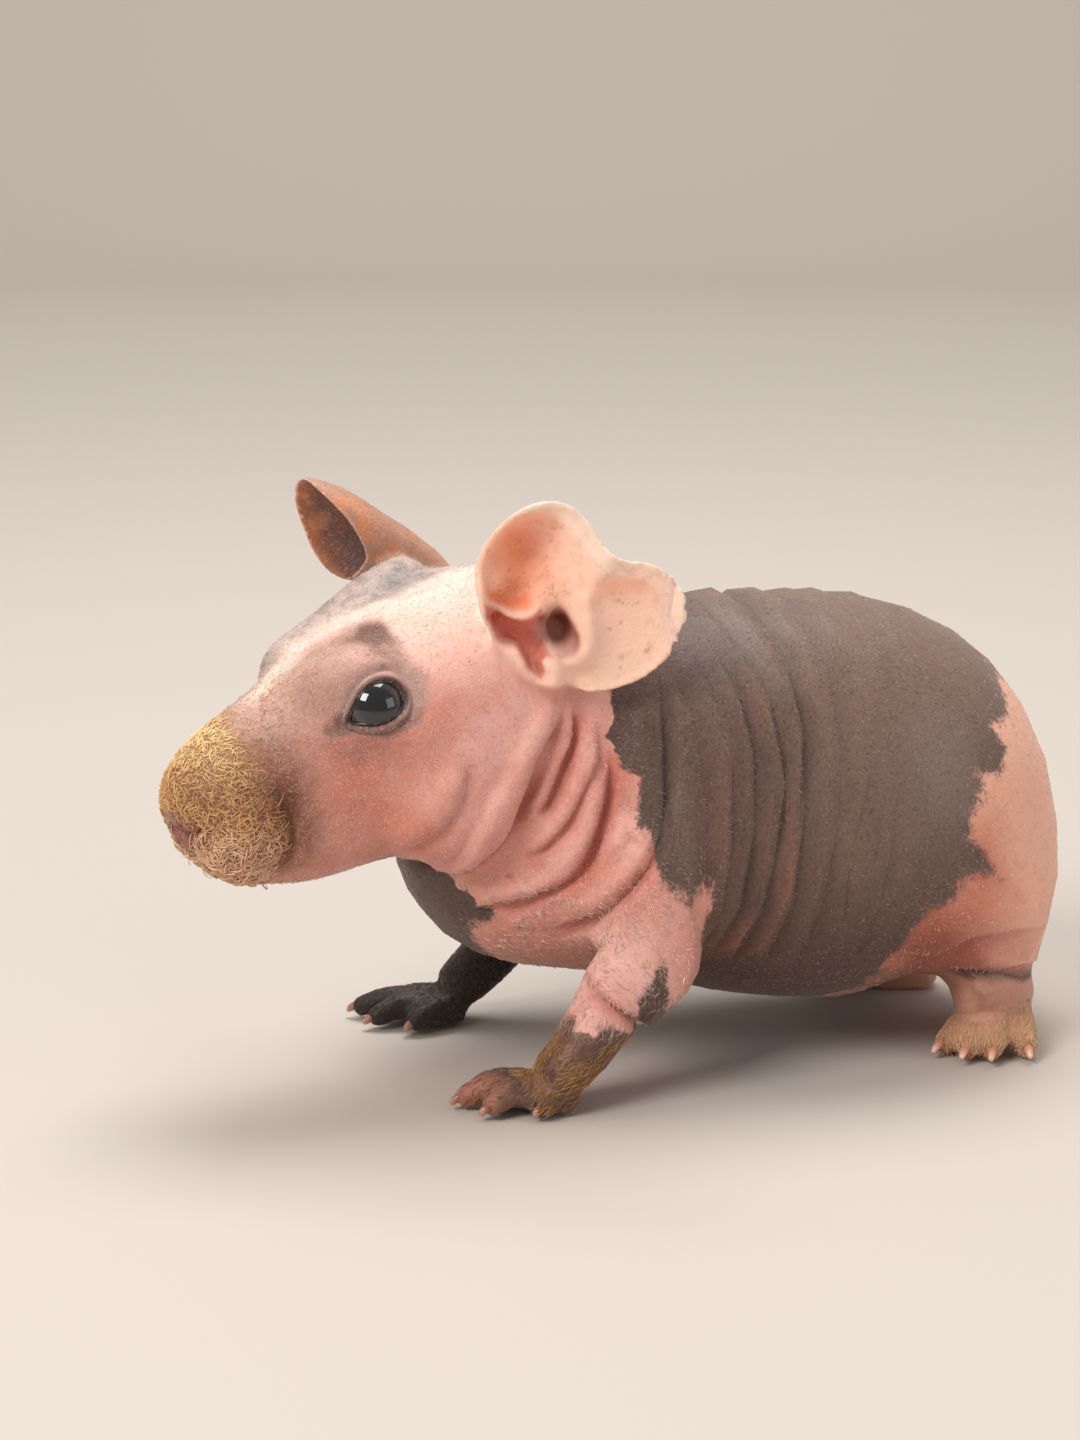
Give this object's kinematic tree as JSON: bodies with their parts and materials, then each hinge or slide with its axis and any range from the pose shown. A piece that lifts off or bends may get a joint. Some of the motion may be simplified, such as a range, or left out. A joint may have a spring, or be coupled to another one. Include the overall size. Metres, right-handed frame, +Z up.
{
  "type": "hairless guinea pig",
  "caption": "Young skinny pig, a nearly hairless guinea pig, standing with its head turned a little: a still, life-size display model that rests on its feet.",
  "frame": {"origin": "on the floor under the middle of the animal's box, between its feet", "axes": "+Z up; the body lies along X with the nose towards -X; the animal's left side is towards -Y"},
  "size_m": [0.142, 0.064, 0.0896],
  "materials": {
    "pink_skin": "soft bare pink skin",
    "dark_skin": "bare grey-brown skin, matt",
    "pale_skin": "tan skin with short golden hair",
    "ear": "thin peach skin",
    "eye": "wet near-black",
    "claw": "pinkish horn"
  },
  "bodies": {
    "root": {"head": "pink_skin", "neck": "pink_skin", "torso": "dark_skin", "foreleg_left": "pink_skin", "foreleg_right": "dark_skin", "hindleg_left": "pink_skin", "hindleg_right": "pink_skin", "forefoot_left": "dark_skin", "forefoot_right": "dark_skin", "hindfoot_left": "pale_skin", "hindfoot_right": "pale_skin", "ear_left": "ear", "ear_right": "ear", "eye_left": "eye", "eye_right": "eye", "claw_forefoot_left_1": "claw", "claw_forefoot_left_2": "claw", "claw_forefoot_left_3": "claw", "claw_forefoot_left_4": "claw", "claw_forefoot_right_1": "claw", "claw_forefoot_right_2": "claw", "claw_forefoot_right_3": "claw", "claw_forefoot_right_4": "claw", "claw_hindfoot_left_1": "claw", "claw_hindfoot_left_2": "claw", "claw_hindfoot_left_3": "claw", "claw_hindfoot_left_4": "claw", "claw_hindfoot_right_1": "claw", "claw_hindfoot_right_2": "claw", "claw_hindfoot_right_3": "claw"}
  },
  "joints": []
}
